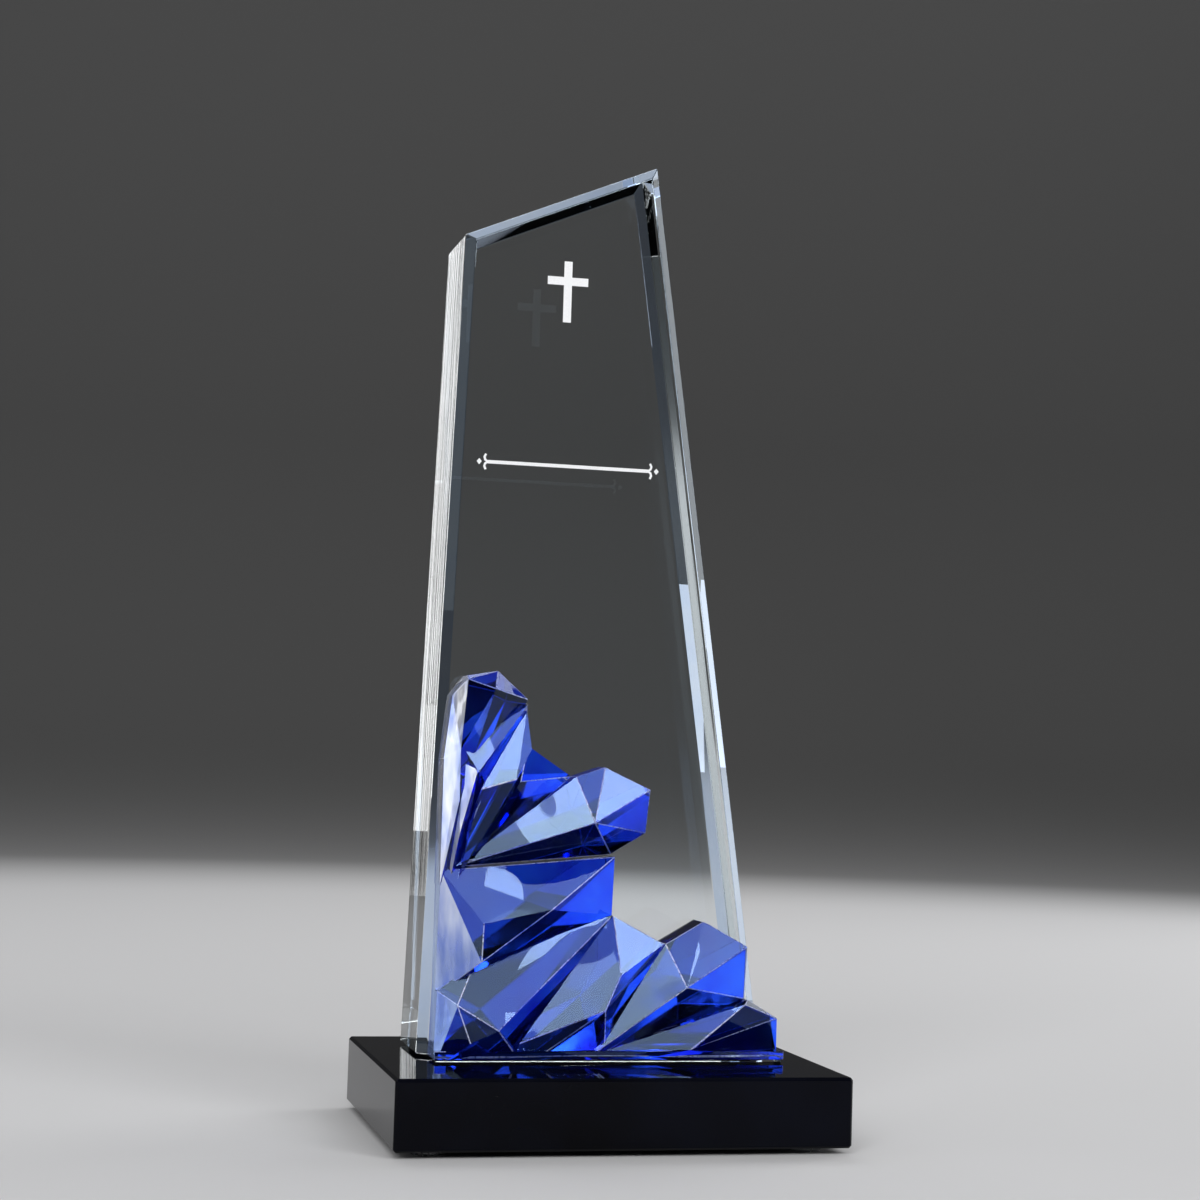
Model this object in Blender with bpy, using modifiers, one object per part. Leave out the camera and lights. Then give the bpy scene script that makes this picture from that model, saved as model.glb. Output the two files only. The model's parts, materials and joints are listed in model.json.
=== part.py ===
"""Crystal award: a clear tower and a blue crystal cluster bonded on a black base.

World frame: +Z up, -Y towards the reader, origin under the middle of the base.
Sizes are in metres, written as millimetres times MM.
"""
import bmesh
import bpy
from mathutils import Vector

MM = 0.001

# Base block
BASE_WIDTH = 122.0 * MM
BASE_DEPTH = 88.0 * MM
BASE_HEIGHT = 18.5 * MM
BASE_CHAMFER = 0.7 * MM

# Clear feet under the base
FOOT_DIAMETER = 10.0 * MM
FOOT_TIP_DIAMETER = 8.4 * MM
FOOT_HEIGHT = 1.5 * MM
FOOT_INSET = 10.0 * MM
FOOT_SIDES = 32

# Tower: a slab with a leaning left edge, a steeper right edge and a slanted top
TOWER_FOOT_WIDTH = 97.5 * MM
TOWER_THICKNESS = 32.0 * MM
TOWER_SETBACK = 41.5 * MM
TOWER_LEFT_HEIGHT = 225.5 * MM
TOWER_PEAK_HEIGHT = 249.0 * MM
TOWER_LEFT_LEAN = 6.0 * MM
TOWER_RIGHT_LEAN = 37.0 * MM
TOWER_BEVEL = 2.6 * MM

# Blue cluster: depths are measured forward from its back
CLUSTER_EDGE_DEPTH = 8.5 * MM
CLUSTER_PLINTH_HEIGHT = 2.2 * MM
CLUSTER_PLINTH_DEPTH = 10.6 * MM

# Adhesive films and the clearance that every seated face keeps
BOND_THICKNESS = 0.3 * MM
BOND_INSET = 0.6 * MM
SEAT_GAP = 0.25 * MM

# The cluster fans out in shards. Each has corners (right of the heel, above the base) on
# its thick edge, eaves (right, above, forward) where its edge is thicker or thinner, and
# crests (right, above, forward) where its facets meet, all in millimetres.
SHARDS = {
    "cap": {
        "corners": [(0.3, 46), (0.2, 80), (2, 97), (6, 102.5), (14.3, 104), (22.8, 96.6)],
        "eaves": [(21, 86, 2)],
        "crests": [(5.8, 101.5, 10.5), (12.5, 99, 15.5), (4, 82.5, 13), (4.2, 69, 12.5)],
    },
    "rib": {
        "corners": [(2.5, 80), (22.9, 95.2)],
        "eaves": [(23.2, 92.5, 6), (10.5, 73, 6), (3, 72, 6)],
        "crests": [(4.8, 82.8, 13), (22.3, 94.8, 10.4), (8.6, 76.6, 15.5)],
    },
    "spine": {
        "corners": [(3, 47), (2.8, 81)],
        "eaves": [(11, 75.5, 6), (6, 47, 6)],
        "crests": [(8.4, 77.2, 15.2), (4.6, 60, 12), (4.6, 79, 12.6)],
    },
    "fin": {
        "corners": [(22.6, 93.5)],
        "eaves": [(23.6, 83.2, 11.8), (5, 48, 10)],
        "crests": [(19.5, 75, 13.6), (10, 72, 12.2)],
    },
    "wing": {
        "corners": [(35.5, 76)],
        "eaves": [(22.6, 84, 11.3), (35.2, 74.5, 3.5), (5.4, 48.4, 7)],
        "crests": [(20.4, 74.3, 14)],
    },
    "broad": {
        "corners": [(4, 51), (37, 76), (45, 78.8), (58, 73)],
        "eaves": [(58, 61, 4.5), (48.5, 55, 3.5)],
        "crests": [(41.3, 63.7, 14)],
    },
    "blade": {
        "corners": [(0.5, 50), (48.5, 54.5)],
        "eaves": [(49, 38.5, 5), (0.5, 16, 5)],
        "crests": [(4, 47, 9.5), (18.7, 40.1, 13), (30.1, 40.2, 14), (11.8, 36.2, 13.3), (11.4, 26.1, 14)],
    },
    "slope": {
        "corners": [(0.5, 18), (10.6, 25.6), (48, 38.3)],
        "eaves": [(26, -3, 5), (0, -3, 9)],
        "crests": [(16.3, 8.2, 15.5), (9.2, 4.6, 13.5), (5.6, 14.5, 12)],
    },
    "ramp": {
        "corners": [(18, 2), (48.5, 38.5), (63, 31)],
        "eaves": [(48, -3, 5), (24, -3, 8)],
        "crests": [(50.1, 22.9, 13), (45.8, 13.5, 14)],
    },
    "peak": {
        "corners": [(43, 0.5), (63.5, 31), (74, 37.2), (76, 36.4), (87, 30.5)],
        "eaves": [(87.5, 16, 5)],
        "crests": [(68.4, 19.7, 14)],
    },
    "toe": {
        "corners": [(44, 1), (87.5, 16), (96, 11)],
        "eaves": [(97.5, 2, 4), (97.5, -3, 4), (44, -3, 8)],
        "crests": [(86, 15, 11), (70.8, 3, 12.5)],
    },
}

# Levels and planes that neighbours share
BASE_BOTTOM = FOOT_HEIGHT + SEAT_GAP
BASE_TOP = BASE_BOTTOM + BASE_HEIGHT
SEAT_RISE = BOND_THICKNESS + 2 * SEAT_GAP
TOWER_BOTTOM = BASE_TOP + SEAT_RISE
TOWER_FRONT = -BASE_DEPTH / 2 + TOWER_SETBACK
TOWER_LEFT = -TOWER_FOOT_WIDTH / 2
CLUSTER_BACK = TOWER_FRONT - SEAT_RISE
CLUSTER_HEEL = TOWER_LEFT + TOWER_BEVEL
CLUSTER_WIDTH = MM * max(point[0] for shard in SHARDS.values()
                         for point in shard["corners"] + shard["eaves"])

# How far raw shapes run past the planes that trim them
TRIM_MARGIN = 4.0 * MM
TRIM_STEP = 0.35 * MM


def make_collections():
    """Clear the scene and return the collections for parts and for cutters."""
    for old in list(bpy.data.objects):
        bpy.data.objects.remove(old, do_unlink=True)
    made = []
    for name in ("crystal_award", "cutters"):
        collection = bpy.data.collections.new(name)
        bpy.context.scene.collection.children.link(collection)
        made.append(collection)
    return made


PARTS, CUTTERS = make_collections()


def material(name, colour, roughness, transmission=0.0, ior=1.5):
    """A Principled material with the finish of one piece."""
    made = bpy.data.materials.new(name)
    made.use_nodes = True
    shader = made.node_tree.nodes["Principled BSDF"]
    shader.inputs["Base Color"].default_value = (*colour, 1.0)
    shader.inputs["Roughness"].default_value = roughness
    shader.inputs["Metallic"].default_value = 0.0
    shader.inputs["Transmission Weight"].default_value = transmission
    shader.inputs["IOR"].default_value = ior
    return made


def add_object(name, bm, collection, finish=None):
    """Turn a bmesh into a named object with its faces pointing out."""
    bmesh.ops.recalc_face_normals(bm, faces=bm.faces[:])
    mesh = bpy.data.meshes.new(name)
    bm.to_mesh(mesh)
    bm.free()
    made = bpy.data.objects.new(name, mesh)
    collection.objects.link(made)
    if finish:
        mesh.materials.append(finish)
    return made


def add_cutter(name, bm):
    """A helper solid that is shown as wire and left out of the model."""
    made = add_object(name, bm, CUTTERS)
    made.hide_render = True
    made.display_type = "WIRE"
    return made


def block(low, high):
    """A box between two corners."""
    low, high = Vector(low), Vector(high)
    bm = bmesh.new()
    bmesh.ops.create_cube(bm, size=1.0)
    bmesh.ops.scale(bm, vec=high - low, verts=bm.verts[:])
    bmesh.ops.translate(bm, vec=(low + high) / 2, verts=bm.verts[:])
    return bm


def slab(outline, front, back):
    """An outline of (x, z) points run from the front plane to the back plane."""
    bm = bmesh.new()
    face = bm.faces.new([bm.verts.new((x, front, z)) for x, z in outline])
    pulled = bmesh.ops.extrude_face_region(bm, geom=[face])["geom"]
    moved = [item for item in pulled if isinstance(item, bmesh.types.BMVert)]
    bmesh.ops.translate(bm, vec=(0, back - front, 0), verts=moved)
    return bm


def boolean(target, operation, cutter):
    """Add an exact Boolean to a piece."""
    modifier = target.modifiers.new(operation.lower(), "BOOLEAN")
    modifier.operation = operation
    modifier.object = cutter
    modifier.solver = "EXACT"


def tower_outline():
    """The tower's four corners, seen from the front."""
    right = TOWER_LEFT + TOWER_FOOT_WIDTH
    return [
        (TOWER_LEFT, TOWER_BOTTOM),
        (right, TOWER_BOTTOM),
        (right - TOWER_RIGHT_LEAN, TOWER_BOTTOM + TOWER_PEAK_HEIGHT),
        (TOWER_LEFT + TOWER_LEFT_LEAN, TOWER_BOTTOM + TOWER_LEFT_HEIGHT),
    ]


def make_base():
    """The black polished block, with a fine chamfer on every edge."""
    half = Vector((BASE_WIDTH / 2, BASE_DEPTH / 2, 0))
    low = -half + Vector((0, 0, BASE_BOTTOM))
    high = half + Vector((0, 0, BASE_TOP))
    finish = material("black_crystal", (0.004, 0.005, 0.010), 0.04)
    base = add_object("base_block", block(low, high), PARTS, finish)
    chamfer = base.modifiers.new("chamfer", "BEVEL")
    chamfer.width = BASE_CHAMFER
    chamfer.segments = 1
    chamfer.limit_method = "ANGLE"


def make_feet():
    """Four clear bumper feet, tapered down to the resting face."""
    finish = material("clear_bumper", (0.82, 0.84, 0.86), 0.25, 0.6, 1.45)
    reach_x = BASE_WIDTH / 2 - FOOT_INSET
    reach_y = BASE_DEPTH / 2 - FOOT_INSET
    places = {
        "foot_front_left": (-reach_x, -reach_y),
        "foot_front_right": (reach_x, -reach_y),
        "foot_rear_left": (-reach_x, reach_y),
        "foot_rear_right": (reach_x, reach_y),
    }
    for name, (x, y) in places.items():
        bm = bmesh.new()
        bmesh.ops.create_cone(
            bm, cap_ends=True, segments=FOOT_SIDES, depth=FOOT_HEIGHT,
            radius1=FOOT_TIP_DIAMETER / 2, radius2=FOOT_DIAMETER / 2)
        foot = add_object(name, bm, PARTS, finish)
        foot.location = (x, y, FOOT_HEIGHT / 2)
        foot.data.shade_smooth()
        foot.data.set_sharp_from_angle(angle=0.6)


def make_tower():
    """The clear slab, bevelled round its front and back but square at its foot."""
    bm = slab(tower_outline(), TOWER_FRONT, TOWER_FRONT + TOWER_THICKNESS)
    rim = []
    for edge in bm.edges:
        one, other = edge.verts
        runs_back = abs(one.co.y - other.co.y) > TOWER_THICKNESS / 2
        at_foot = max(one.co.z, other.co.z) < TOWER_BOTTOM + TOWER_BEVEL
        if not runs_back and not at_foot:
            rim.append(edge)
    bmesh.ops.bevel(bm, geom=rim, offset=TOWER_BEVEL, offset_type="OFFSET", segments=1,
                    affect="EDGES", clamp_overlap=True)
    finish = material("clear_crystal", (0.97, 0.98, 1.0), 0.0, 1.0, 1.52)
    add_object("tower", bm, PARTS, finish)


def shard_mesh(shard, extra):
    """One shard: its outline stood off the tower, closed over its crests."""
    bm = bmesh.new()
    corners = [(right, above, CLUSTER_EDGE_DEPTH) for right, above in shard["corners"]]
    eaves = [(right, above, forward * MM) for right, above, forward in shard["eaves"]]
    for right, above, edge in corners + eaves:
        for depth in (-TRIM_MARGIN - extra, edge):
            bm.verts.new(cluster_point(right * MM, above * MM, depth))
    for right, above, forward in shard["crests"]:
        bm.verts.new(cluster_point(right * MM, above * MM, forward * MM))
    hull = bmesh.ops.convex_hull(bm, input=bm.verts[:])
    inside = [item for item in hull["geom_interior"] if isinstance(item, bmesh.types.BMVert)]
    bmesh.ops.delete(bm, geom=inside, context="VERTS")
    return bm


def cluster_point(right, above, forward):
    """A point of the cluster in the world frame."""
    return (CLUSTER_HEEL + right, CLUSTER_BACK - forward, TOWER_BOTTOM + above)


def plinth_mesh():
    """The low straight foot that the shards stand on."""
    low = cluster_point(0, -TRIM_MARGIN / 2, CLUSTER_PLINTH_DEPTH)
    high = cluster_point(CLUSTER_WIDTH, CLUSTER_PLINTH_HEIGHT, -TRIM_MARGIN / 2)
    return block(low, high)


def make_shards():
    """The shards as helper solids, each run back a little further than the last."""
    return [add_cutter("shard_" + name, shard_mesh(shard, index * TRIM_STEP))
            for index, (name, shard) in enumerate(SHARDS.items())]


def add_fused(name, shards, finish):
    """A piece made of the plinth and every shard, still to be trimmed."""
    made = add_object(name, plinth_mesh(), PARTS, finish)
    for shard in shards:
        boolean(made, "UNION", shard)
    return made


def make_cluster(shards):
    """The faceted blue casting, trimmed flat against the tower and the base."""
    finish = material("blue_crystal", (0.03, 0.07, 0.85), 0.02, 0.9, 1.55)
    cluster = add_fused("blue_cluster", shards, finish)
    low = cluster_point(-TRIM_MARGIN, 0, BASE_DEPTH)
    high = cluster_point(CLUSTER_WIDTH + TRIM_MARGIN, TOWER_PEAK_HEIGHT, 0)
    boolean(cluster, "INTERSECT", add_cutter("cluster_room", block(low, high)))


def make_bonds():
    """The thin films of clear adhesive under the tower and round the cluster."""
    finish = material("clear_adhesive", (0.95, 0.97, 1.0), 0.05, 1.0, 1.5)
    film_low = BASE_TOP + SEAT_GAP
    film_high = film_low + BOND_THICKNESS

    inset = TOWER_BEVEL + BOND_INSET
    low = (TOWER_LEFT + inset, TOWER_FRONT + inset, film_low)
    high = (TOWER_LEFT + TOWER_FOOT_WIDTH - inset, TOWER_FRONT + TOWER_THICKNESS - inset, film_high)
    add_object("bond_tower_base", block(low, high), PARTS, finish)

    low = (CLUSTER_HEEL + BOND_INSET, CLUSTER_BACK - CLUSTER_PLINTH_DEPTH + BOND_INSET, film_low)
    high = (CLUSTER_HEEL + CLUSTER_WIDTH - BOND_INSET, CLUSTER_BACK - BOND_INSET, film_high)
    add_object("bond_cluster_base", block(low, high), PARTS, finish)


def make_face_bond(shards):
    """The film between the cluster's back and the tower's front, in their shared outline."""
    finish = material("clear_face_adhesive", (0.95, 0.97, 1.0), 0.05, 1.0, 1.5)
    film = add_fused("bond_cluster_tower", shards, finish)
    film_front = TOWER_FRONT - SEAT_GAP - BOND_THICKNESS
    room = slab(inner_outline(), film_front, TOWER_FRONT - SEAT_GAP)
    boolean(film, "INTERSECT", add_cutter("film_room", room))


def inner_outline():
    """The tower's flat front face, inside its bevels, kept clear of the base."""
    inset = TOWER_BEVEL + BOND_INSET
    inward = [(1, 1), (-1, 1), (-1, -1), (1, -1)]
    return [(x + side * inset, z + rise * inset)
            for (x, z), (side, rise) in zip(tower_outline(), inward)]


make_base()
make_feet()
make_tower()
SHARD_SOLIDS = make_shards()
make_cluster(SHARD_SOLIDS)
make_face_bond(SHARD_SOLIDS)
make_bonds()
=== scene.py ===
# %% [markdown]
# A crystal award: a clear slab with a slanted top and a blue cluster of shards in
# front of it, both bonded to a black polished block on four clear bumpers.
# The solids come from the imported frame, in metres, at their real size and place.
# This lesson gives them their finish: eased edges, optical glass, glue films,
# frosted marks, and a small studio to look at them in.

# %% Load the frame
import json
import math

import bmesh
import bpy
from mathutils import Matrix, Vector
from mathutils.geometry import delaunay_2d_cdt

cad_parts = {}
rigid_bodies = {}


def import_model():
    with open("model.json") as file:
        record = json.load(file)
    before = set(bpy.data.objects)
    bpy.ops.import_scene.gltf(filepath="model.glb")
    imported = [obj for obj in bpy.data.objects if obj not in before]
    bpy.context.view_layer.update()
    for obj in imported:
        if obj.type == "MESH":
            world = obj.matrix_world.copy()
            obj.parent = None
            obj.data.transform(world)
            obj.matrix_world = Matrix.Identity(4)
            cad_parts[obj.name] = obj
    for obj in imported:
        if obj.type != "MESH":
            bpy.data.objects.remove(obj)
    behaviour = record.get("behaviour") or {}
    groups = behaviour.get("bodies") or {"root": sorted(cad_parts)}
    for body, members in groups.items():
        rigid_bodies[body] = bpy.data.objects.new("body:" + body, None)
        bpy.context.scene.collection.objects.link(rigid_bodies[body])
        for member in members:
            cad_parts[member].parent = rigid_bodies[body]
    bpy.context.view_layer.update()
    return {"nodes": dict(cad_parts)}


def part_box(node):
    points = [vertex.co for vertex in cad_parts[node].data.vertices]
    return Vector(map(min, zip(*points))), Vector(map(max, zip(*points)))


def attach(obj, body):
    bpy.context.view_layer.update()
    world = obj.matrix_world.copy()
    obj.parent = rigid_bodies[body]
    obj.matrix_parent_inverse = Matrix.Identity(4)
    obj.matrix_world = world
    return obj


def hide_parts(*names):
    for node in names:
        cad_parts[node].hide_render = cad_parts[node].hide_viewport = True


for old in list(bpy.data.objects):
    bpy.data.objects.remove(old, do_unlink=True)

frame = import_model()
MM = 0.001
scene = bpy.context.scene
print("nodes:", sorted(frame["nodes"]))

# %% [markdown]
# The camera comes first, because every finish is judged through it. A camera can be
# set by eye, or worked out from corners whose real places are known. Here it was
# worked out from the corners of the block and the slab: a little to the left of the
# middle, at over a third of the award's height, looking slightly up.

# %% Camera
CAMERA_PLACE = Vector((-0.1553, -0.6307, 0.1029))
CAMERA_YAW = math.radians(-13.73)
CAMERA_TILT = math.radians(-3.83)
CAMERA_ROLL = math.radians(1.75)
CAMERA_LENS = 69.84
CAMERA_NEAR = 0.01


def add_object(name, data):
    """Put a camera, a mesh or a lamp in the scene under a plain name."""
    made = bpy.data.objects.new(name, data)
    scene.collection.objects.link(made)
    return made


def camera_axes(yaw, tilt, roll):
    """The camera's right, up and back directions."""
    back = Vector((math.sin(yaw) * math.cos(tilt), -math.cos(yaw) * math.cos(tilt), math.sin(tilt)))
    right = (-back).cross(Vector((0, 0, 1))).normalized()
    up = right.cross(-back)
    turned_right = right * math.cos(roll) + up * math.sin(roll)
    turned_up = up * math.cos(roll) - right * math.sin(roll)
    return turned_right, turned_up, back


camera = add_object("camera", bpy.data.cameras.new("camera"))
camera.data.lens = CAMERA_LENS
camera.data.clip_start = CAMERA_NEAR
axes = Matrix(camera_axes(CAMERA_YAW, CAMERA_TILT, CAMERA_ROLL)).transposed()
camera.matrix_world = Matrix.Translation(CAMERA_PLACE) @ axes.to_4x4()
scene.camera = camera
print("camera stands", round(CAMERA_PLACE.length, 3), "m from the middle of the base")

# %% [markdown]
# Glass has hardly any look of its own: it shows its surroundings, bent and mirrored.
# So the studio is part of the finish. A flat backdrop would end somewhere in the side
# views, so the floor runs up into a round wall that looks the same from everywhere.
# The floor is pale. Its tone grades with distance into a dark grey wall, against which
# clear glass with white edges stands out.

# %% Studio paper
FLOOR_TONE = (0.62, 0.62, 0.63, 1.0)
WALL_TONE = (0.08, 0.08, 0.08, 1.0)
WALL_START = 1.0
WALL_FULL = 1.8
LEVEL_ONLY = (1.0, 1.0, 0.0)


def new_material(name):
    """A node material with its nodes, its links and its Principled shader."""
    made = bpy.data.materials.new(name)
    made.use_nodes = True
    tree = made.node_tree
    return made, tree.nodes, tree.links, tree.nodes["Principled BSDF"]


def studio_paper():
    """Pale floor that grades into the grey wall by distance from the middle."""
    made, nodes, links, shader = new_material("studio_paper")
    place = nodes.new("ShaderNodeNewGeometry")
    level = nodes.new("ShaderNodeVectorMath")
    level.operation = "MULTIPLY"
    level.inputs[1].default_value = LEVEL_ONLY
    reach = nodes.new("ShaderNodeVectorMath")
    reach.operation = "LENGTH"
    grade = nodes.new("ShaderNodeMapRange")
    grade.interpolation_type = "SMOOTHSTEP"
    grade.inputs["From Min"].default_value = WALL_START
    grade.inputs["From Max"].default_value = WALL_FULL
    tones = nodes.new("ShaderNodeMix")
    tones.data_type = "RGBA"
    tones.inputs["A"].default_value = FLOOR_TONE
    tones.inputs["B"].default_value = WALL_TONE
    links.new(place.outputs["Position"], level.inputs[0])
    links.new(level.outputs["Vector"], reach.inputs[0])
    links.new(reach.outputs["Value"], grade.inputs["Value"])
    links.new(grade.outputs["Result"], tones.inputs["Factor"])
    links.new(tones.outputs["Result"], shader.inputs["Base Color"])
    shader.inputs["Roughness"].default_value = 1.0
    shader.inputs["Specular IOR Level"].default_value = 0.0
    return made


STUDIO_PAPER = studio_paper()
print("paper is pale out to", WALL_START, "m and dark grey from", WALL_FULL, "m")

# %% [markdown]
# A photographer hangs a roll of paper so that it sweeps from the floor up the wall without a
# crease. A bent plane would do that for one side only. A profile of floor, sweep and wall,
# turned once round the award, has no side where it ends.

# %% Floor and wall
FLOOR_REACH = 1.5
SWEEP_RADIUS = 0.45
WALL_TOP = 2.4
SWEEP_STEPS = 24
ROUND_STEPS = 96
MERGE_REACH = 0.01 * MM


def mesh_from(bm, name):
    """A mesh made from a bmesh, which is freed."""
    mesh = bpy.data.meshes.new(name)
    bm.to_mesh(mesh)
    bm.free()
    return mesh


def studio_mesh():
    """A profile of floor, sweep and wall, turned once round the Z axis."""
    profile = [(0.0, 0.0), (FLOOR_REACH, 0.0)]
    for step in range(1, SWEEP_STEPS + 1):
        angle = math.pi / 2 * step / SWEEP_STEPS
        profile.append((FLOOR_REACH + SWEEP_RADIUS * math.sin(angle),
                        SWEEP_RADIUS * (1 - math.cos(angle))))
    profile.append((FLOOR_REACH + SWEEP_RADIUS, WALL_TOP))
    bm = bmesh.new()
    points = [bm.verts.new((x, 0, z)) for x, z in profile]
    edges = [bm.edges.new(pair) for pair in zip(points, points[1:])]
    bmesh.ops.spin(bm, geom=points + edges, axis=(0, 0, 1), cent=(0, 0, 0), steps=ROUND_STEPS,
                   angle=2 * math.pi, use_merge=True)
    bmesh.ops.remove_doubles(bm, verts=bm.verts[:], dist=MERGE_REACH)
    bmesh.ops.recalc_face_normals(bm, faces=bm.faces[:])
    mesh = mesh_from(bm, "studio")
    mesh.shade_smooth()
    mesh.materials.append(STUDIO_PAPER)
    return mesh


studio = add_object("studio", studio_mesh())
print("studio is", round(2 * (FLOOR_REACH + SWEEP_RADIUS), 2), "m across")

# %% [markdown]
# What shows in polished crystal is the lamps, so each panel is placed for the faces that
# mirror it. Three key panels above and behind the camera light the floor and lie as a pale
# sheen on facets that look up; they differ in brightness, so that neighbouring facets differ
# too. Six more are for the cluster: two low ones are what its blue back sends out, three
# narrow ones streak its facets, and one lies along its left flank. Two strips behind are for
# the slab: the tall one shows in its left side, the low one in the foot of its right bevel.
# The side panels show in the bevels' outer faces, and the one over the floor in the top bevel.
# Spot lamps would leave only dots in the glass, and one bright sky would wash it out.

# %% Lamps
MIDDLE = (0.0, 0.0, 0.13)
POWER_PER_GLOW = 4


def softbox(name, place, size, glow, aim=MIDDLE):
    """A soft panel, width by height; glow sets how bright its face is, whatever its size."""
    width, height = size
    lamp = bpy.data.lights.new(name, "AREA")
    lamp.shape = "RECTANGLE"
    lamp.size = width
    lamp.size_y = height
    lamp.energy = POWER_PER_GLOW * width * height * glow
    made = add_object(name, lamp)
    made.location = place
    made.rotation_euler = (Vector(aim) - Vector(place)).to_track_quat("-Z", "Y").to_euler()
    made.visible_camera = False
    return made


key_panels = [
    softbox("panel_key_left", (-0.74, -1.38, 1.04), size=(0.95, 0.92), glow=4.25),
    softbox("panel_key_middle", (0.15, -1.555, 1.10), size=(0.85, 0.78), glow=2.75),
    softbox("panel_key_right", (0.85, -1.31, 1.02), size=(0.62, 1.0), glow=3.7)]
cluster_panels = [
    softbox("panel_front_left", (-0.65, -1.33, 0.39), size=(1.3, 0.7), glow=1.35),
    softbox("panel_front_right", (0.70, -1.26, 0.24), size=(0.45, 0.44), glow=1.6),
    softbox("panel_sheen_left", (-0.37, -1.38, 1.06), size=(0.14, 0.75), glow=8.0),
    softbox("panel_sheen_middle", (0.05, -1.40, 1.18), size=(0.12, 0.5), glow=8.0),
    softbox("panel_sheen_right", (0.80, -1.28, 0.90), size=(0.12, 0.6), glow=8.0),
    softbox("panel_flank", (-1.2, -0.1, 0.14), size=(1.5, 0.26), glow=1.2)]
softbox("panel_right", (1.11, 0.45, 0.55), size=(0.7, 1.1), glow=2.0)
softbox("panel_left", (-1.19, 0.17, 0.68), size=(1.4, 0.9), glow=0.65)
strip_panels = [
    softbox("panel_strip_high", (-0.18, 1.185, 0.575), size=(0.135, 1.05), glow=1.6,
            aim=(-0.18, 0.0, 0.575)),
    softbox("panel_strip_low", (-0.266, 1.185, 0.075), size=(0.037, 0.15), glow=0.65,
            aim=(-0.266, 0.0, 0.075))]
softbox("panel_over_back", (0.15, 1.0, 1.5), size=(1.6, 0.8), glow=2.2, aim=(0.15, 1.15, 0.0))

# %% [markdown]
# Seen from behind, the panels in front would stand in the slab as white shapes, and the strips
# would draw an edge on the floor. They could be moved away, but then the crystal goes dark. So
# rays through glass miss the key panels, and light linking, a list of what a lamp may light,
# keeps the cluster's panels on the cluster and the strips on the slab. Those two pieces join
# their lists when they are made. A little even light from all round fills the shadows, and the
# Standard view transform shows the tones as they are, without the look of film.

# %% What the lamps may light
WORLD_TONE = (1.0, 1.0, 1.0, 1.0)
WORLD_LEVEL = 0.15


def light_only(panels, name):
    """Let these panels light nothing but the pieces in a new list."""
    listed = bpy.data.collections.new(name)
    for panel in panels:
        panel.light_linking.receiver_collection = listed
    return listed


lit_by_cluster_panels = light_only(cluster_panels, "lit_by_cluster_panels")
lit_by_strip_panels = light_only(strip_panels, "lit_by_strip_panels")
for panel in key_panels:
    panel.visible_transmission = False

world = bpy.data.worlds.new("studio_air")
world.use_nodes = True
air = world.node_tree.nodes["Background"]
air.inputs["Color"].default_value = WORLD_TONE
air.inputs["Strength"].default_value = WORLD_LEVEL
scene.world = world
scene.view_settings.view_transform = "Standard"
print(len(cluster_panels), "panels are for the cluster and", len(strip_panels), "for the slab")

# %% [markdown]
# A facet's edge is never razor sharp: polishing eases it by a few tenths of a millimetre,
# and that strip is what glints. A Bevel modifier would ease every edge alike, and it throws
# spikes where thin facets run together at the cluster's heel. So each solid is copied,
# its triangles are merged back into flat faces, and only ridges with room are eased.
# The strips can have a finish of their own.

# %% Eased edges
FLAT_ANGLE = math.radians(0.6)
RIDGE_ANGLE = math.radians(6)
LEAST_CORNER = math.radians(14)
ROOM_PER_WIDTH = 5
EASE_SEGMENTS = 2
ROUND_PROFILE = 0.5
FINISH_OF_NEIGHBOUR = -1


def has_room(edge, reach):
    """True if no neighbour is shorter than reach or leaves this edge at a narrow corner."""
    for corner in edge.verts:
        along = (edge.other_vert(corner).co - corner.co).normalized()
        for face in edge.link_faces:
            for other in face.edges:
                if other == edge or corner not in other.verts:
                    continue
                leave = other.other_vert(corner).co - corner.co
                if leave.length < reach or along.angle(leave) < LEAST_CORNER:
                    return False
    return True


def merge_flat_faces(bm):
    """Merge points that lie on each other, and triangles that lie in one plane."""
    bmesh.ops.remove_doubles(bm, verts=bm.verts[:], dist=MERGE_REACH)
    bmesh.ops.dissolve_limit(bm, angle_limit=FLAT_ANGLE, verts=bm.verts[:], edges=bm.edges[:])


def eased_copy(node, name, width, strip_finish=FINISH_OF_NEIGHBOUR):
    """A copy of a solid with clean flat faces and its ridges eased."""
    bm = bmesh.new()
    bm.from_mesh(frame["nodes"][node].data)
    merge_flat_faces(bm)
    ridges = [edge for edge in bm.edges
              if edge.is_convex and edge.calc_face_angle() > RIDGE_ANGLE
              and has_room(edge, ROOM_PER_WIDTH * width)]
    bmesh.ops.bevel(bm, geom=ridges, offset=width, offset_type="OFFSET", segments=EASE_SEGMENTS,
                    profile=ROUND_PROFILE, affect="EDGES", clamp_overlap=False,
                    material=strip_finish)
    for face in bm.faces:
        face.smooth = False
    mesh = mesh_from(bm, name)
    if "custom_normal" in mesh.attributes:
        mesh.attributes.remove(mesh.attributes["custom_normal"])
    made = add_object(name, mesh)
    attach(made, "root")
    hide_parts(node)
    print(name, "has", len(ridges), "eased ridges and", len(mesh.polygons), "faces")
    return made


print("ridges sharper than", round(math.degrees(RIDGE_ANGLE)), "degrees will be eased")

# %% [markdown]
# No polish is perfect, and perfect glass looks drawn. Real pieces vary a little in colour and
# haze, and cast or sawn faces keep shallow waves. Images would have to be painted and wrapped
# round each piece; noise that fills space needs no wrapping, and it can be stretched along an
# axis to give lines. The helpers spread it between two tones, for the colour or the haze. Its
# scale counts patches to the metre.

# %% Noise, colour and haze
PATCH_DETAIL = 3.0
TONE_STOPS = (0.35, 0.65)


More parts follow.
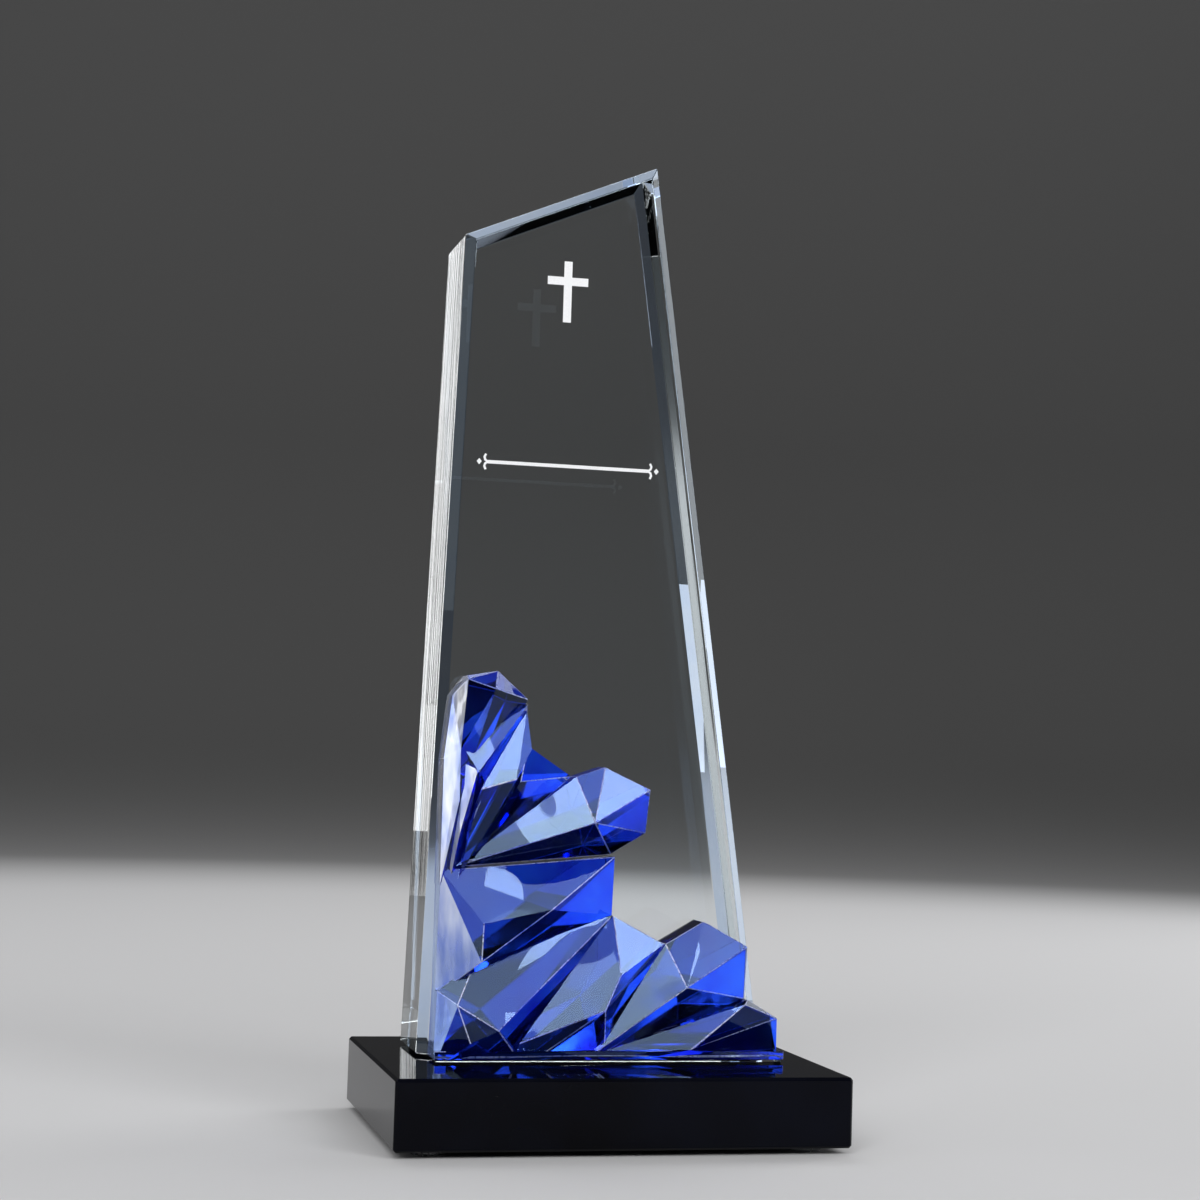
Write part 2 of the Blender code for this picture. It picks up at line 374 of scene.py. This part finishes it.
def even(scale):
    """The same scale along all three axes."""
    return (scale, scale, scale)


def through_noise(nodes, links, stretch, detail):
    """Soft noise through the piece, with its own scale along each axis."""
    place = nodes.new("ShaderNodeTexCoord")
    mapping = nodes.new("ShaderNodeMapping")
    mapping.inputs["Scale"].default_value = stretch
    noise = nodes.new("ShaderNodeTexNoise")
    noise.inputs["Scale"].default_value = 1.0
    noise.inputs["Detail"].default_value = detail
    links.new(place.outputs["Object"], mapping.inputs["Vector"])
    links.new(mapping.outputs["Vector"], noise.inputs["Vector"])
    return noise.outputs["Fac"]


def mottle(nodes, links, stretch, tones):
    """The noise spread between two tones."""
    ramp = nodes.new("ShaderNodeValToRGB")
    for stop, position, tone in zip(ramp.color_ramp.elements, TONE_STOPS, tones):
        stop.position = position
        stop.color = (*tone, 1.0)
    links.new(through_noise(nodes, links, stretch, PATCH_DETAIL), ramp.inputs["Fac"])
    return ramp.outputs["Color"]


def coloured(nodes, links, shader, patches, tones):
    """A body colour that drifts between two tones."""
    links.new(mottle(nodes, links, even(patches), tones), shader.inputs["Base Color"])


def hazy(nodes, links, shader, patches, levels):
    """A roughness that drifts between two levels."""
    greys = [(level, level, level) for level in levels]
    links.new(mottle(nodes, links, even(patches), greys), shader.inputs["Roughness"])


print("60 patches to the metre are each about", round(1 / (60 * MM)), "mm across")

# %% [markdown]
# Some finishes need two colours in one material: the slab's bevels carry a painted blue
# reflection and its front is clear, and the cluster's flank goes from a painted blue reflection
# to a painted silver one. A second material would end at a hard seam, so a mask between 0 and 1
# blends the two, or says where the waves are. Waves are the same noise as relief in the shading:
# to carry them, the mesh would need many more faces.

# %% Blends and waves
FULL_RELIEF = 1.0


def blended(nodes, links, shader, share, first, second):
    """A body colour taken from first where share is 0 and from second where it is 1."""
    body = nodes.new("ShaderNodeMix")
    body.data_type = "RGBA"
    links.new(share, body.inputs["Factor"])
    links.new(first, body.inputs["A"])
    links.new(second, body.inputs["B"])
    links.new(body.outputs["Result"], shader.inputs["Base Color"])


def wavy(nodes, links, shader, stretch, depth, detail, where=None):
    """Shallow waves in the polish, everywhere or only where a mask is 1."""
    bump = nodes.new("ShaderNodeBump")
    bump.inputs["Strength"].default_value = FULL_RELIEF
    bump.inputs["Distance"].default_value = depth
    links.new(through_noise(nodes, links, stretch, detail), bump.inputs["Height"])
    links.new(bump.outputs["Normal"], shader.inputs["Normal"])
    if where:
        links.new(where, bump.inputs["Strength"])


print("waves have their full depth where a mask is", FULL_RELIEF)

# %% [markdown]
# The slab is optical crystal: water clear face on, faintly cool where light travels far
# inside it. A Glass shader alone would be colourless at any depth, so a Principled shader
# does the bending and a Volume Absorption node adds the tint by distance. The front and back
# are flat polished, the bevels carry a painted blue reflection, and the sawn sides keep fine
# lines along their length. More materials on one slab would break the tint, which counts a ray
# in and out by material. So one material carries all of it, and masks on the face's direction
# say where.

# %% Clear crystal slab
CRYSTAL_IOR = 1.52
CRYSTAL_TONES = ((0.985, 0.992, 1.0), (0.965, 0.98, 0.99))
BEVEL_REFLECTION_TONES = ((0.54, 0.70, 1.0), (0.44, 0.62, 1.0))
CRYSTAL_SHINE = (0.7, 0.87, 1.0, 1.0)
DEPTH_TINT = (0.55, 0.84, 0.92, 1.0)
DEPTH_DENSITY = 3.0
SLAB_EASE = 0.25 * MM


def slab_mask(nodes, links, middle, spread):
    """A mask that is 1 on faces whose direction has about this share of front or back."""
    place = nodes.new("ShaderNodeNewGeometry")
    split = nodes.new("ShaderNodeSeparateXYZ")
    lean = nodes.new("ShaderNodeMath")
    lean.operation = "ABSOLUTE"
    near = nodes.new("ShaderNodeMath")
    near.operation = "COMPARE"
    near.inputs[1].default_value = middle
    near.inputs[2].default_value = spread
    links.new(place.outputs["True Normal"], split.inputs["Vector"])
    links.new(split.outputs["Y"], lean.inputs[0])
    links.new(lean.outputs["Value"], near.inputs[0])
    return near.outputs["Value"]


def clear_crystal():
    """Polished clear crystal: a trace of haze, a painted blue reflection on the bevels, faint lines
    along its cut sides.
    """
    made, nodes, links, shader = new_material("clear_crystal")
    on_bevels = slab_mask(nodes, links, middle=0.7, spread=0.2)
    on_sides = slab_mask(nodes, links, middle=0.0, spread=0.3)
    # Painted blue reflection on the bevels, blended in where faces lean like a bevel.
    blended(nodes, links, shader, on_bevels, mottle(nodes, links, even(18), CRYSTAL_TONES),
            mottle(nodes, links, even(70), BEVEL_REFLECTION_TONES))
    hazy(nodes, links, shader, patches=60, levels=(0.0, 0.012))
    wavy(nodes, links, shader, stretch=(8, 600, 8), depth=0.04 * MM, detail=2.0, where=on_sides)
    shader.inputs["Transmission Weight"].default_value = 1.0
    shader.inputs["IOR"].default_value = CRYSTAL_IOR
    shader.inputs["Specular Tint"].default_value = CRYSTAL_SHINE
    tint = nodes.new("ShaderNodeVolumeAbsorption")
    tint.inputs["Color"].default_value = DEPTH_TINT
    tint.inputs["Density"].default_value = DEPTH_DENSITY
    links.new(tint.outputs["Volume"], nodes["Material Output"].inputs["Volume"])
    return made


slab = eased_copy("tower", "clear_slab", SLAB_EASE)
slab.data.materials.append(clear_crystal())
lit_by_strip_panels.objects.link(slab)

# %% [markdown]
# The cluster is one casting of crystal with a blue mirror coat on its flat back. A facet is
# pale where it mirrors a lamp, cobalt where the coat sends a lamp back through it, and nearly
# black where light is turned round inside. Painting the facets would fix those tones for one
# view only; the coat makes them follow the eye, and slow waves in the facets bend them.

# %% Blue crystal and its coat
CLUSTER_IOR = 1.55
FACET_TONES = ((0.86, 0.90, 1.0), (0.44, 0.54, 1.0))
FACET_SHINE = (0.46, 0.67, 1.0, 1.0)
COAT_TONES = ((0.008, 0.016, 0.50), (0.015, 0.08, 0.62))


def blue_crystal():
    """Faintly blue cast crystal with slow waves in its facets."""
    made, nodes, links, shader = new_material("blue_crystal")
    coloured(nodes, links, shader, patches=60, tones=FACET_TONES)
    hazy(nodes, links, shader, patches=90, levels=(0.0, 0.04))
    wavy(nodes, links, shader, stretch=even(32), depth=2.2 * MM, detail=0.0)
    shader.inputs["Transmission Weight"].default_value = 1.0
    shader.inputs["IOR"].default_value = CLUSTER_IOR
    shader.inputs["Specular Tint"].default_value = FACET_SHINE
    return made


def blue_coat():
    """The blue mirror coat on the cluster's flat back."""
    made, nodes, links, shader = new_material("blue_coat")
    coloured(nodes, links, shader, patches=60, tones=COAT_TONES)
    hazy(nodes, links, shader, patches=200, levels=(0.03, 0.08))
    shader.inputs["Metallic"].default_value = 1.0
    return made


cluster_finishes = [blue_crystal(), blue_coat()]
print("cluster finishes:", [finish.name for finish in cluster_finishes])

# %% [markdown]
# The eased ridges are finely ground and catch light in places. Light is turned round behind
# the narrow left flank, which looks silvery and streaked, and blue towards its foot. Clear
# glass there would show only what stands to the left, so both get painted light: part glass
# and part pale body or metal. The ridges' pale body is a painted glint, and the flank's silver
# and blue are a painted reflection, graded by its height.

# %% Ridges and flank
RIDGE_GLINT_TONES = ((0.76, 0.82, 1.0), (0.12, 0.20, 0.70))
FLANK_REFLECTED_BLUES = ((0.34, 0.50, 0.92), (0.08, 0.16, 0.62))
FLANK_REFLECTED_SILVERS = ((0.86, 0.89, 0.96), (0.36, 0.46, 0.84))
FLANK_STREAKS = (200, 200, 45)
FLANK_BLUE_BELOW = 30 * MM
FLANK_SILVER_ABOVE = 75 * MM


def ground_ridge_glint():
    """The eased ridges: finely ground, with a pale painted glint that shows as light lines."""
    made, nodes, links, shader = new_material("ground_ridge_glint")
    # The pale tone is a painted glint; the ridges drift between it and blue.
    coloured(nodes, links, shader, patches=70, tones=RIDGE_GLINT_TONES)
    hazy(nodes, links, shader, patches=900, levels=(0.2, 0.4))
    shader.inputs["Transmission Weight"].default_value = 0.7
    shader.inputs["IOR"].default_value = CLUSTER_IOR
    return made


def height_grade(nodes, links, low, high):
    """A mask that goes from 0 at the height low to 1 at the height high."""
    place = nodes.new("ShaderNodeTexCoord")
    split = nodes.new("ShaderNodeSeparateXYZ")
    grade = nodes.new("ShaderNodeMapRange")
    grade.inputs["From Min"].default_value = low
    grade.inputs["From Max"].default_value = high
    links.new(place.outputs["Object"], split.inputs["Vector"])
    links.new(split.outputs["Z"], grade.inputs["Value"])
    return grade.outputs["Result"]


def flank_painted_reflection():
    """The narrow left flank: a painted reflection, wavy, streaked, silvery above and blue towards
    the foot.
    """
    made, nodes, links, shader = new_material("flank_painted_reflection")
    # Painted reflection: silver streaks above, blue towards the foot, graded by height.
    rising = height_grade(nodes, links, FLANK_BLUE_BELOW, FLANK_SILVER_ABOVE)
    blended(nodes, links, shader, rising, mottle(nodes, links, FLANK_STREAKS, FLANK_REFLECTED_BLUES),
            mottle(nodes, links, FLANK_STREAKS, FLANK_REFLECTED_SILVERS))
    hazy(nodes, links, shader, patches=300, levels=(0.05, 0.2))
    wavy(nodes, links, shader, stretch=(250, 250, 60), depth=0.5 * MM, detail=2.0)
    shader.inputs["Metallic"].default_value = 0.6
    shader.inputs["Transmission Weight"].default_value = 0.3
    shader.inputs["IOR"].default_value = CLUSTER_IOR
    return made


cluster_finishes += [ground_ridge_glint(), flank_painted_reflection()]
print("cluster finishes:", [finish.name for finish in cluster_finishes])

# %% [markdown]
# Which face gets which finish could be picked by hand, and would be lost when the shards
# change. Here it follows from each face: the strips are marked while they are eased, the coat
# lies on what looks straight back, and the flank is what looks left near the left end.

# %% Blue crystal cluster
CLUSTER_EASE = 0.17 * MM
COAT, RIDGE, FLANK = 1, 2, 3
LOOKS_BACK = 0.99
FLANK_LEAN = -0.45
FLANK_DEPTH = 6.4 * MM
FLANK_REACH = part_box("blue_cluster")[0].x + FLANK_DEPTH

cluster = eased_copy("blue_cluster", "blue_shards", CLUSTER_EASE, strip_finish=RIDGE)
for finish in cluster_finishes:
    cluster.data.materials.append(finish)
for face in cluster.data.polygons:
    if face.normal.y > LOOKS_BACK:
        face.material_index = COAT
    elif face.normal.x < FLANK_LEAN and face.center.x < FLANK_REACH:
        face.material_index = FLANK
lit_by_cluster_panels.objects.link(cluster)

# %% [markdown]
# The block is opaque black crystal, polished on every side. Pure black looks like a hole, and a
# full mirror would show more pale floor than black. So the reflection is held low, and a trace
# of navy and a faint haze from polishing are added.

# %% Black base
BLACK_TONES = ((0.001, 0.001, 0.002), (0.002, 0.0025, 0.006))
BLOCK_EASE = 0.15 * MM


def black_crystal():
    """Polished black crystal with a faint navy body and a low shine."""
    made, nodes, links, shader = new_material("black_crystal")
    coloured(nodes, links, shader, patches=30, tones=BLACK_TONES)
    hazy(nodes, links, shader, patches=120, levels=(0.02, 0.06))
    shader.inputs["IOR"].default_value = 1.5
    shader.inputs["Specular IOR Level"].default_value = 0.08
    return made


block = eased_copy("base_block", "black_block", BLOCK_EASE)
block.data.materials.append(black_crystal())

# %% [markdown]
# Clear adhesive fills the joints. The solids keep a clearance there, which would show as a
# dark slit. A film scaled up to fill it would also grow past its edges, so each film is copied
# and only its two broad faces are moved out, almost to the pieces that it joins.

# %% Adhesive films
ADHESIVE_TONES = ((0.97, 0.98, 1.0), (0.93, 0.96, 0.98))
FILM_GAP = 0.02 * MM
Y_AXIS, Z_AXIS = 1, 2
BASE_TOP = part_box("base_block")[1].z
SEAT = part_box("tower")[0].z
SLAB_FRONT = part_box("tower")[0].y
CLUSTER_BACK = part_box("blue_cluster")[1].y


def clear_adhesive():
    """Cured clear adhesive with a slight unevenness."""
    made, nodes, links, shader = new_material("clear_adhesive")
    coloured(nodes, links, shader, patches=150, tones=ADHESIVE_TONES)
    hazy(nodes, links, shader, patches=300, levels=(0.02, 0.08))
    shader.inputs["Transmission Weight"].default_value = 1.0
    shader.inputs["IOR"].default_value = 1.49
    return made


ADHESIVE = clear_adhesive()


def filled_film(node, name, axis, low, high):
    """A copy of a film whose two faces across an axis reach almost to low and high."""
    mesh = frame["nodes"][node].data.copy()
    mesh.name = name
    bm = bmesh.new()
    bm.from_mesh(mesh)
    merge_flat_faces(bm)
    middle = sum(v.co[axis] for v in bm.verts) / len(bm.verts)
    for vert in bm.verts:
        vert.co[axis] = low + FILM_GAP if vert.co[axis] < middle else high - FILM_GAP
    bm.to_mesh(mesh)
    bm.free()
    mesh.materials.clear()
    mesh.materials.append(ADHESIVE)
    made = add_object(name, mesh)
    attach(made, "root")
    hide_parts(node)
    print(name, "is", round((high - low - 2 * FILM_GAP) / MM, 2), "mm thick")


filled_film("bond_tower_base", "film_under_slab", Z_AXIS, BASE_TOP, SEAT)
filled_film("bond_cluster_base", "film_under_cluster", Z_AXIS, BASE_TOP, SEAT)
filled_film("bond_cluster_tower", "film_behind_cluster", Y_AXIS, CLUSTER_BACK, SLAB_FRONT)

# %% [markdown]
# Four clear bumpers of soft plastic keep the block off the table. Glass would bend light too
# cleanly for them, so they are rough, a little cloudy, and only partly see-through. They are
# round, so their sides are shaded smooth, and only the rims stay sharp.

# %% Feet
BUMPER_TONES = ((0.86, 0.88, 0.9), (0.78, 0.8, 0.82))
FOOT_EASE = 0.12 * MM
RIM_ANGLE = math.radians(50)


def clear_bumper():
    """Soft clear polyurethane, slightly cloudy."""
    made, nodes, links, shader = new_material("clear_bumper")
    coloured(nodes, links, shader, patches=200, tones=BUMPER_TONES)
    hazy(nodes, links, shader, patches=500, levels=(0.18, 0.32))
    shader.inputs["Transmission Weight"].default_value = 0.7
    shader.inputs["IOR"].default_value = 1.45
    return made


BUMPER = clear_bumper()
for side in ("front_left", "front_right", "rear_left", "rear_right"):
    foot = eased_copy("foot_" + side, "bumper_" + side, FOOT_EASE)
    foot.data.shade_smooth()
    foot.data.set_sharp_from_angle(angle=RIM_ANGLE)
    foot.data.materials.append(BUMPER)

# %% [markdown]
# The marks on the slab are blasted into its front face: a plain upright cross and, below it,
# a rule. They could be painted by a mask over the whole face, which blurs close up. A thin
# plate, half sunk in the face, keeps its edges sharp and stays in place from every side.
# Outlines that overlap are merged first, so each mark is one closed mesh.

# %% Frosted marks
FROSTED_TONES = ((0.93, 0.94, 0.95), (0.84, 0.85, 0.87))
MARK_DEPTH = 0.05 * MM
MARK_RISE = 0.05 * MM
FACES_INSIDE = 1
OUTLINE_MERGE = 1e-7


def frosted():
    """Blasted white glass: fine grain and no shine."""
    made, nodes, links, shader = new_material("frosted_mark")
    coloured(nodes, links, shader, patches=4000, tones=FROSTED_TONES)
    hazy(nodes, links, shader, patches=6000, levels=(0.7, 0.95))
    shader.inputs["Specular IOR Level"].default_value = 0.0
    return made


FROSTED = frosted()


def mark(name, outlines):
    """A thin frosted plate on the slab's front, in the joint shape of outlines of (x, z)."""
    corners, loops = [], []
    for outline in outlines:
        loops.append(list(range(len(corners), len(corners) + len(outline))))
        corners.extend(Vector(point) for point in outline)
    points, _, faces, *_ = delaunay_2d_cdt(corners, [], loops, FACES_INSIDE, OUTLINE_MERGE)
    bm = bmesh.new()
    verts = [bm.verts.new((x, SLAB_FRONT - MARK_RISE, z)) for x, z in points]
    for face in faces:
        bm.faces.new([verts[index] for index in face])
    bmesh.ops.dissolve_limit(bm, angle_limit=FLAT_ANGLE, verts=bm.verts[:], edges=bm.edges[:])
    pulled = bmesh.ops.extrude_face_region(bm, geom=bm.faces[:])["geom"]
    moved = [item for item in pulled if isinstance(item, bmesh.types.BMVert)]
    bmesh.ops.translate(bm, vec=(0, MARK_RISE + MARK_DEPTH, 0), verts=moved)
    bmesh.ops.recalc_face_normals(bm, faces=bm.faces[:])
    mesh = mesh_from(bm, name)
    mesh.materials.append(FROSTED)
    made = add_object(name, mesh)
    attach(made, "root")
    print(name, "has", len(mesh.polygons), "faces")


print("a mark is", round((MARK_DEPTH + MARK_RISE) / MM, 2), "mm thick")

# %% [markdown]
# The cross is a plain Latin one. Two crossed bars would do, since outlines are merged, but one
# outline keeps both halves alike: the right one is six corners, and the left one mirrors them.

# %% Cross
CROSS_CENTRE = -13.8 * MM
CROSS_TOP = 240.6 * MM
CROSS_HEIGHT = 17.2 * MM
CROSS_SPAN = 11.6 * MM
CROSS_STROKE = 2.3 * MM
CROSS_ARM_DROP = 5.6 * MM


def cross_outline():
    """The twelve corners of an upright Latin cross."""
    half, arm = CROSS_STROKE / 2, CROSS_SPAN / 2
    top, foot = CROSS_TOP, CROSS_TOP - CROSS_HEIGHT
    bar = CROSS_TOP - CROSS_ARM_DROP
    right_side = [(half, top), (half, bar + half), (arm, bar + half), (arm, bar - half),
                  (half, bar - half), (half, foot)]
    left_side = [(-x, z) for x, z in reversed(right_side)]
    return [(CROSS_CENTRE + x, z) for x, z in right_side + left_side]


mark("frosted_cross", [cross_outline()])

# %% [markdown]
# The rule is an old printers' divider, with a brace and a diamond at each end. A curve object
# with a bevel could draw it, with round strokes that stand off the glass. Here the outline of
# each stroke is worked out from its bent path, and the same helper makes the flat plate.

# %% Divider
RULE_CENTRE = -12.0 * MM
RULE_LEVEL = 183.0 * MM
RULE_HALF = 22.9 * MM
RULE_STROKE = 0.95 * MM
BRACE_BEND_MM = [(-0.55, 2.15), (-0.95, 1.3), (-0.75, 0.55), (0, 0)]
BRACE_STROKE = 0.6 * MM
LEAST_MITRE = 0.3
DIAMOND_REACH = 25.3 * MM
DIAMOND_SIZE = (0.72 * MM, 0.88 * MM)


def stroke(path, width):
    """The outline of a bent stroke, mitred at its corners."""
    sides = ([], [])
    for index, point in enumerate(path):
        before = path[max(index - 1, 0)]
        after = path[min(index + 1, len(path) - 1)]
        arrive = (point - before).normalized() if index else (after - point).normalized()
        leave = (after - point).normalized() if index < len(path) - 1 else arrive
        across = (arrive + leave).normalized().orthogonal()
        reach = width / 2 / max(across.dot(arrive.orthogonal()), LEAST_MITRE)
        sides[0].append(point + across * reach)
        sides[1].append(point - across * reach)
    return sides[0] + sides[1][::-1]


def divider_outlines():
    """A rule with a curly brace and a diamond at each end."""
    half = RULE_STROKE / 2
    made = [[(-RULE_HALF, -half), (RULE_HALF, -half), (RULE_HALF, half), (-RULE_HALF, half)]]
    bend = BRACE_BEND_MM + [(x, -z) for x, z in BRACE_BEND_MM[-2::-1]]
    wide, tall = DIAMOND_SIZE
    for side in (-1, 1):
        path = [Vector((side * (RULE_HALF - x * MM), z * MM)) for x, z in bend]
        made.append([tuple(point) for point in stroke(path, BRACE_STROKE)])
        made.append([(side * DIAMOND_REACH + wide * x, tall * z)
                     for x, z in ((1, 0), (0, 1), (-1, 0), (0, -1))])
    return [[(RULE_CENTRE + x, RULE_LEVEL + z) for x, z in outline] for outline in made]


mark("frosted_divider", divider_outlines())
